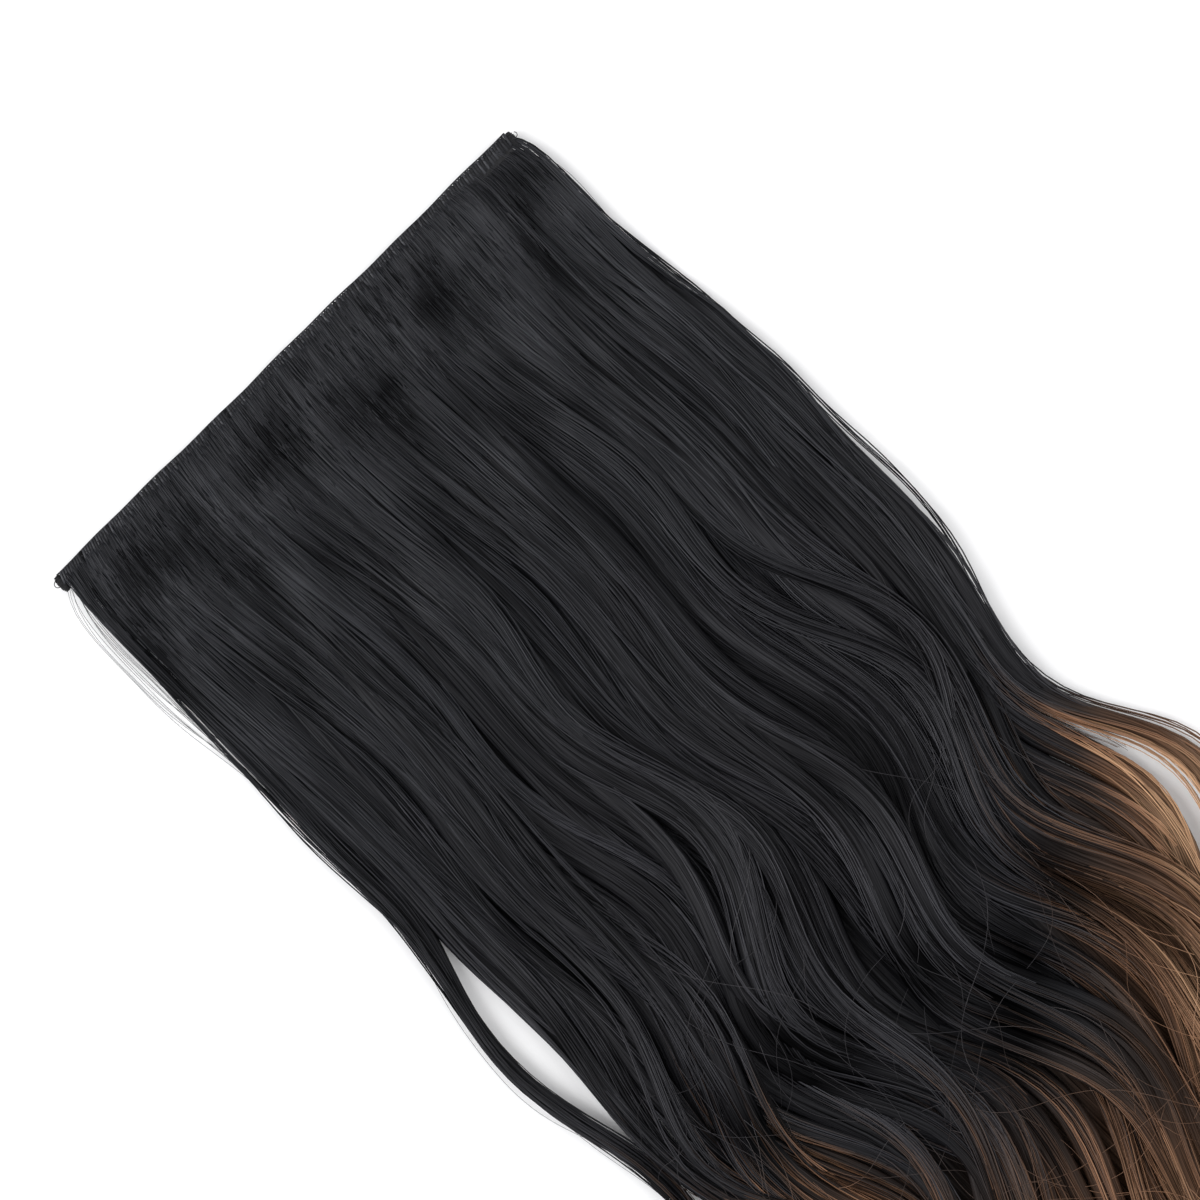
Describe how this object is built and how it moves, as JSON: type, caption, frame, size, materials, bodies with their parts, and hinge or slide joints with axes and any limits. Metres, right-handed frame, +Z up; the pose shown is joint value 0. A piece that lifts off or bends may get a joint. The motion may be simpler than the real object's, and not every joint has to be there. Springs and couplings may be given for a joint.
{
  "type": "clip-in hair extension weft",
  "caption": "Wide weft of long wavy black-to-brown hair on a stitched track, with snap clips sewn under the track.",
  "frame": {"origin": "centre of the underside of the whole object's box, on the surface that it lies on", "axes": "+X along the stitched edge, +Y from the hair tips towards the stitched edge, +Z up, away from the surface"},
  "size_m": [0.2328, 0.561, 0.0158],
  "materials": {
    "hair_fibre": "soft satin strands, black at the track and brown towards the tips",
    "stitched_track": "matt ribbed stitching",
    "binding_thread": "matt wound thread",
    "clip_steel": "satin spring steel"
  },
  "bodies": {
    "root": {"weft_band": "stitched_track", "end_binding_left": "binding_thread", "end_binding_right": "binding_thread", "clip_1": "clip_steel", "clip_2": "clip_steel", "clip_3": "clip_steel", "clip_4": "clip_steel", "hair": "hair_fibre"}
  },
  "joints": []
}
